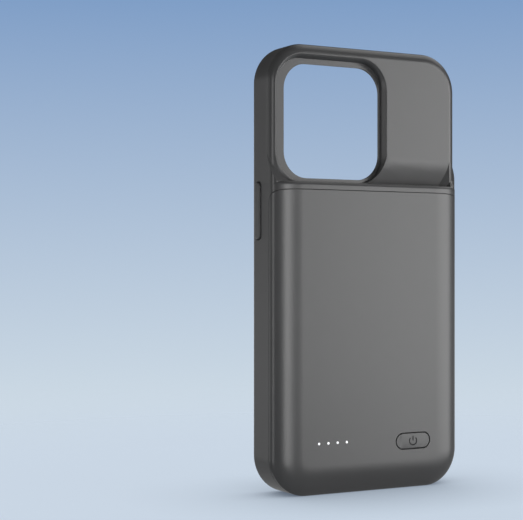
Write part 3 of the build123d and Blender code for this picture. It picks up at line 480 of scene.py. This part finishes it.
def metal(name, colour, roughness, grain_size):
    """Drawn sheet metal with faint lines along its length."""
    material, finish = new_finish(name)
    drawn = {"Vector": finish.place(), "Scale": LINE_SCALE}
    stretched = finish.node("ShaderNodeMapping", {}, drawn, "Vector")
    fine = {"Vector": stretched, "Scale": 1.0 / grain_size, "Detail": LINE_DETAIL}
    lines = finish.node("ShaderNodeTexNoise", {}, fine, "Fac")
    finish.coat({
        "Base Color": finish.mix(lines, lighter(colour, -LINE_TINT), lighter(colour, LINE_TINT)),
        "Metallic": 1.0,
        "Roughness": roughness + lines * LINE_GLOSS,
        "Normal": finish.bump(lines, LINE_DEPTH),
    })
    return material


def glowing(name, colour, strength):
    """Milky light guide, lit from inside, with faint clouds."""
    material, finish = new_finish(name)
    cloud = finish.noise(MILK_WIDTH)
    finish.coat({
        "Base Color": finish.mix(cloud, lighter(colour, -MILK_TINT), lighter(colour, 0.0)),
        "Roughness": MILK_ROUGHNESS + cloud * MILK_GLOSS,
        "Emission Color": finish.mix(cloud, lighter(colour, -MILK_GLOW), lighter(colour, 0.0)),
        "Emission Strength": strength,
    })
    return material


def board(name, mask, copper):
    """Circuit board: solder mask over a faint pattern of tracks."""
    material, finish = new_finish(name)
    pattern = {"distance": "MANHATTAN", "feature": "F1"}
    spread = {"Vector": finish.place(), "Scale": TRACK_SCALE}
    cells = finish.node("ShaderNodeTexVoronoi", pattern, spread, "Distance")
    tracks = finish.node("ShaderNodeValToRGB", {"stops": TRACK_STOPS}, {"Fac": cells}, "Color")
    finish.coat({
        "Base Color": finish.mix(tracks, (*mask, 1.0), (*copper, 1.0)),
        "Roughness": BOARD_ROUGHNESS,
        "Normal": finish.bump(cells, TRACK_DEPTH),
    })
    return material


def put_on(material, *names):
    """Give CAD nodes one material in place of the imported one."""
    for name in names:
        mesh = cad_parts[name].data
        mesh.materials.clear()
        mesh.materials.append(material)


def put_on_all(make, finishes):
    """Make each finish of a table and give it to its nodes."""
    for name, (*values, nodes) in finishes.items():
        put_on(make(name, *values), *nodes)


def smooth(names, angle, lead):
    """Shade CAD nodes smooth: join their loose faces, keep real edges sharp and say which faces lead."""
    for name in names:
        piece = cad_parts[name]
        weld = piece.modifiers.new("join_faces", "WELD")
        weld.merge_threshold = JOIN_DISTANCE
        split = piece.modifiers.new("keep_edges", "EDGE_SPLIT")
        split.split_angle = angle
        normals = piece.modifiers.new("even_normals", "WEIGHTED_NORMAL")
        normals.mode = lead
        normals.weight = LEAD_WEIGHT


def mesh_piece(name, shape, material, body):
    """Finish a bmesh as an object of its own that rides on a CAD body."""
    bmesh.ops.remove_doubles(shape, verts=shape.verts, dist=MERGE_DISTANCE)
    bmesh.ops.recalc_face_normals(shape, faces=shape.faces)
    mesh = bpy.data.meshes.new(name)
    shape.to_mesh(mesh)
    shape.free()
    piece = bpy.data.objects.new(name, mesh)
    bpy.context.scene.collection.objects.link(piece)
    mesh.materials.append(material)
    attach(piece, body)


def add_block(shape, low, high):
    """Box between two corners, in a bmesh."""
    low, high = Vector(low), Vector(high)
    made = bmesh.ops.create_cube(shape, size=1.0)
    bmesh.ops.scale(shape, vec=high - low, verts=made["verts"])
    bmesh.ops.translate(shape, vec=(low + high) / 2, verts=made["verts"])


class CASE_OT_dress_shell(bpy.types.Operator):
    """Give the bumper, the battery cover, the keys and the button their soft-touch finish"""

    bl_idname = "case.dress_shell"
    bl_label = "Dress shell"

    def execute(self, context):
        look = context.scene.case_shell
        values = (look.roughness, look.grain_size, look.grain_depth, look.edge_round)
        keys = ("side_key", "volume_up_key", "volume_down_key")
        put_on(moulded("soft_bumper", look.colour, *values), "bumper")
        put_on(moulded("soft_cover", look.colour, *values, shoulder=True), "battery_cover")
        put_on(moulded("soft_keys", look.colour, *values), *keys)
        put_on(moulded("soft_button", look.colour, *values), "power_button")
        smooth(("bumper", *keys), look.smooth_angle, "FACE_AREA")
        smooth(("battery_cover", "power_button"), look.smooth_angle, "CORNER_ANGLE")
        return {"FINISHED"}


class CASE_OT_dress_pocket(bpy.types.Operator):
    """Give the chassis, its screws, the plug and the socket their finishes"""

    bl_idname = "case.dress_pocket"
    bl_label = "Dress pocket"

    def execute(self, context):
        put_on_all(moulded, POCKET_PLASTICS)
        put_on_all(metal, POCKET_METALS)
        names = ("inner_chassis", "chassis_screws", "plug_shell", "plug_core", "charge_socket_shell")
        smooth(names, context.scene.case_shell.smooth_angle, "FACE_AREA")
        return {"FINISHED"}


class CASE_OT_dress_inside(bpy.types.Operator):
    """Give the boards, the chips, the cell and the wiring inside their finishes"""

    bl_idname = "case.dress_inside"
    bl_label = "Dress inside"

    def execute(self, context):
        green = board("solder_mask", MASK_GREEN, TRACK_GREEN)
        put_on(green, "main_board", "protection_board", "plug_board")
        put_on_all(moulded, INSIDE_PLASTICS)
        put_on_all(metal, INSIDE_METALS)
        return {"FINISHED"}


class CASE_OT_light_dots(bpy.types.Operator):
    """Light the charge lights"""

    bl_idname = "case.light_dots"
    bl_label = "Light dots"

    def execute(self, context):
        put_on(glowing("light_white", LIGHT_COLOUR, LIGHT_STRENGTH), "light_guide", "status_leds")
        return {"FINISHED"}


class CASE_OT_add_power_mark(bpy.types.Operator):
    """Print the power symbol on the button"""

    bl_idname = "case.add_power_mark"
    bl_label = "Add power mark"

    def execute(self, context):
        mark = context.scene.case_mark
        low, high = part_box("power_button")
        middle = Vector(((low.x + high.x) / 2, low.y - mark.thickness / 2, (low.z + high.z) / 2))
        radius = (mark.diameter - mark.stroke) / 2
        shape = bmesh.new()
        # Section of the ring, turned to one end of its opening and spun to the other
        section = bmesh.ops.create_grid(shape, x_segments=1, y_segments=1, size=0.5)["verts"]
        bmesh.ops.scale(shape, vec=(mark.stroke, mark.thickness, 1), verts=section)
        bmesh.ops.translate(shape, vec=middle + Vector((radius, 0, 0)), verts=section)
        first_end = Matrix.Rotation(math.radians(90) + mark.opening / 2, 3, TOWARDS_BACK)
        bmesh.ops.rotate(shape, verts=section, cent=middle, matrix=first_end)
        bmesh.ops.spin(
            shape,
            geom=[*shape.verts, *shape.edges, *shape.faces],
            cent=middle,
            axis=TOWARDS_BACK,
            angle=math.tau - mark.opening,
            steps=RING_STEPS,
        )
        half = Vector((mark.stroke, mark.thickness, 0)) / 2
        add_block(shape, middle - half, middle + half + Vector((0, 0, mark.bar_top)))
        ink = moulded("mark_ink", mark.colour, *MARK_INK)
        mesh_piece("power_mark", shape, ink, "power_button")
        return {"FINISHED"}


class CASE_OT_add_contacts(bpy.types.Operator):
    """Lay the gold contacts on the socket's tongue and in the plug's slot"""

    bl_idname = "case.add_contacts"
    bl_label = "Add contacts"

    def execute(self, context):
        look = context.scene.case_contacts
        gold = metal("contact_gold", *CONTACT_GOLD)
        socket_low, socket_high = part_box("charge_socket_insert")
        plug_low, plug_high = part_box("plug_core")
        socket_y = (socket_low.y + socket_high.y) / 2
        plug_y = (plug_low.y + plug_high.y) / 2
        rows = (
            ("socket_contacts", socket_y, socket_low.z + SOCKET_SETBACK, TONGUE_HALF, 1),
            ("plug_contacts", plug_y, plug_high.z - PLUG_SETBACK - look.length, SLOT_HALF, -1),
        )
        for name, middle_y, start_z, half, outward in rows:
            shape = bmesh.new()
            for side in (-1, 1):
                for number in range(look.count):
                    x = (number - (look.count - 1) / 2) * look.pitch
                    face_y = middle_y + side * half
                    top_y = face_y + side * outward * look.thickness
                    low = (x - look.width / 2, min(face_y, top_y), start_z)
                    high = (x + look.width / 2, max(face_y, top_y), start_z + look.length)
                    add_block(shape, low, high)
            mesh_piece(name, shape, gold, "case")
        return {"FINISHED"}


def add_lamp(name, turn, rise, wide, tall, shine, level):
    """Soft rectangular lamp that looks at the case.

    The turn is counted from straight behind towards the left, the rise from level; they and the lamp's
    extent are angles in degrees as the case sees them. A lamp without shine lights the case and is not
    mirrored in it. The level is the brightness of the lamp's face.
    """
    data = bpy.data.lights.new(name, "AREA")
    data.shape = "RECTANGLE"
    data.size = 2 * LAMP_DISTANCE * math.tan(math.radians(wide / 2))
    data.size_y = 2 * LAMP_DISTANCE * math.tan(math.radians(tall / 2))
    data.energy = level * math.pi * data.size * data.size_y
    lamp = bpy.data.objects.new(name, data)
    direction = Euler((math.radians(-rise), 0, math.radians(-turn))).to_matrix() @ TOWARDS_BACK
    lamp.location = LAMP_TARGET + LAMP_DISTANCE * direction
    lamp.rotation_euler = (-direction).to_track_quat("-Z", "Y").to_euler()
    lamp.visible_camera = False
    lamp.visible_glossy = shine
    bpy.context.scene.collection.objects.link(lamp)


class CASE_OT_set_stage(bpy.types.Operator):
    """Lay the floor, hang the lamps and place the camera"""

    bl_idname = "case.set_stage"
    bl_label = "Set stage"

    def execute(self, context):
        scene = context.scene
        look = scene.case_stage
        self.lay_floor(scene, look)
        self.light_world(scene, look)
        for name, values in LAMPS.items():
            add_lamp(f"{name}_lamp", *values, getattr(look, f"{name}_level"))
        self.place_camera(scene, look)
        scene.view_settings.view_transform = "Standard"
        return {"FINISHED"}

    def lay_floor(self, scene, look):
        """Pale round floor that fades out; its matt share keeps the case's real shadow, and where the camera
        sees it its glow has a painted shadow under the case.
        """
        shape = bmesh.new()
        bmesh.ops.create_circle(shape, cap_ends=True, segments=FLOOR_SEGMENTS, radius=look.floor_radius)
        mesh = bpy.data.meshes.new("floor")
        shape.to_mesh(mesh)
        shape.free()
        floor = bpy.data.objects.new("floor", mesh)
        scene.collection.objects.link(floor)
        material, finish = new_finish("floor_pale")
        pale = (*look.floor_colour, 1.0)
        away = finish.node("ShaderNodeVectorMath", {"operation": "LENGTH"}, {0: finish.place()}, "Value")
        soft = {"interpolation_type": "SMOOTHSTEP"}
        ring = {"Value": away, "From Min": FADE_START, "From Max": look.floor_radius * FADE_END}
        fade = finish.node("ShaderNodeMapRange", soft, ring, "Result")
        paint = {"Base Color": pale, "Roughness": FLOOR_ROUGHNESS}
        matt = finish.node("ShaderNodeBsdfPrincipled", {}, paint, "BSDF")
        rays = {"samples": PAINTED_SHADOW_SAMPLES}
        # Painted shadow: ambient occlusion darkens the floor's glow towards the shadow colour near the case
        painted_shadow_mask = finish.node("ShaderNodeAmbientOcclusion", rays, {"Distance": look.painted_shadow_reach}, "AO")
        floor_with_painted_shadow = finish.mix(painted_shadow_mask, (*look.painted_shadow_colour, 1.0), pale)
        plain = finish.node("ShaderNodeEmission", {}, {"Color": floor_with_painted_shadow, "Strength": 1.0}, "Emission")
        share = finish.camera_ray() * look.floor_glow
        shown = finish.node("ShaderNodeMixShader", {}, {0: share, 1: matt, 2: plain}, "Shader")
        clear = finish.node("ShaderNodeBsdfTransparent", {}, {}, "BSDF")
        finish.surface(finish.node("ShaderNodeMixShader", {}, {0: fade, 1: shown, 2: clear}, "Shader"))
        mesh.materials.append(material)
        floor.visible_glossy = False

    def light_world(self, scene, look):
        """Backdrop for the camera, and for all else dim light from above and more from below."""
        world = bpy.data.worlds.new("studio")
        scene.world = world
        world.use_nodes = True
        finish = Finish(world.node_tree)
        direction = finish.node("ShaderNodeTexCoord", {}, {}, "Generated")
        height = finish.node("ShaderNodeSeparateXYZ", {}, {"Vector": direction}, "Z")
        span = {"Value": height, "From Min": SKY_LOW, "From Max": SKY_HIGH}
        rise = finish.node("ShaderNodeMapRange", {}, span, "Result")
        shown = finish.mix(rise, (*look.sky_low, 1.0), (*look.sky_high, 1.0))
        soft = finish.mix(height < 0.0, (*[look.ambient] * 3, 1.0), (*[look.bounce] * 3, 1.0))
        colour = finish.mix(finish.camera_ray(), soft, shown)
        light = finish.node("ShaderNodeBackground", {}, {"Color": colour, "Strength": 1.0}, "Background")
        finish.node("ShaderNodeOutputWorld", {}, {"Surface": light}, None)

    def place_camera(self, scene, look):
        """Level camera at the photograph's angle."""
        data = bpy.data.cameras.new("camera")
        data.lens = look.focal_length
        data.shift_y = look.shift_up
        camera = bpy.data.objects.new("camera", data)
        camera.location = look.camera_place
        camera.rotation_euler = (math.radians(90), 0, look.camera_turn)
        scene.collection.objects.link(camera)
        scene.camera = camera


OPERATORS = (
    CASE_OT_dress_shell,
    CASE_OT_dress_pocket,
    CASE_OT_dress_inside,
    CASE_OT_light_dots,
    CASE_OT_add_power_mark,
    CASE_OT_add_contacts,
    CASE_OT_set_stage,
)
SETTINGS = {
    "case_shell": ShellSettings,
    "case_mark": MarkSettings,
    "case_contacts": ContactSettings,
    "case_stage": StageSettings,
}


class CASE_PT_panel(bpy.types.Panel):
    """Sidebar panel with the case's operators and settings"""

    bl_idname = "CASE_PT_panel"
    bl_label = "Battery Charging Case"
    bl_space_type = "VIEW_3D"
    bl_region_type = "UI"
    bl_category = "Case"

    def draw(self, context):
        for operator in OPERATORS:
            self.layout.operator(operator.bl_idname)
        for settings in SETTINGS:
            box = self.layout.box()
            group = getattr(context.scene, settings)
            for name in group.bl_rna.properties.keys():
                if name not in ("rna_type", "name"):
                    box.prop(group, name)


CLASSES = (*SETTINGS.values(), *OPERATORS, CASE_PT_panel)


def register():
    for each in CLASSES:
        bpy.utils.register_class(each)
    for name, group in SETTINGS.items():
        setattr(bpy.types.Scene, name, PointerProperty(type=group))


def unregister():
    for name in SETTINGS:
        delattr(bpy.types.Scene, name)
    for each in reversed(CLASSES):
        bpy.utils.unregister_class(each)


def main():
    register()
    bpy.ops.case.dress_shell()
    bpy.ops.case.dress_pocket()
    bpy.ops.case.dress_inside()
    bpy.ops.case.light_dots()
    bpy.ops.case.add_power_mark()
    bpy.ops.case.add_contacts()
    bpy.ops.case.set_stage()


if __name__ == "__main__":
    main()
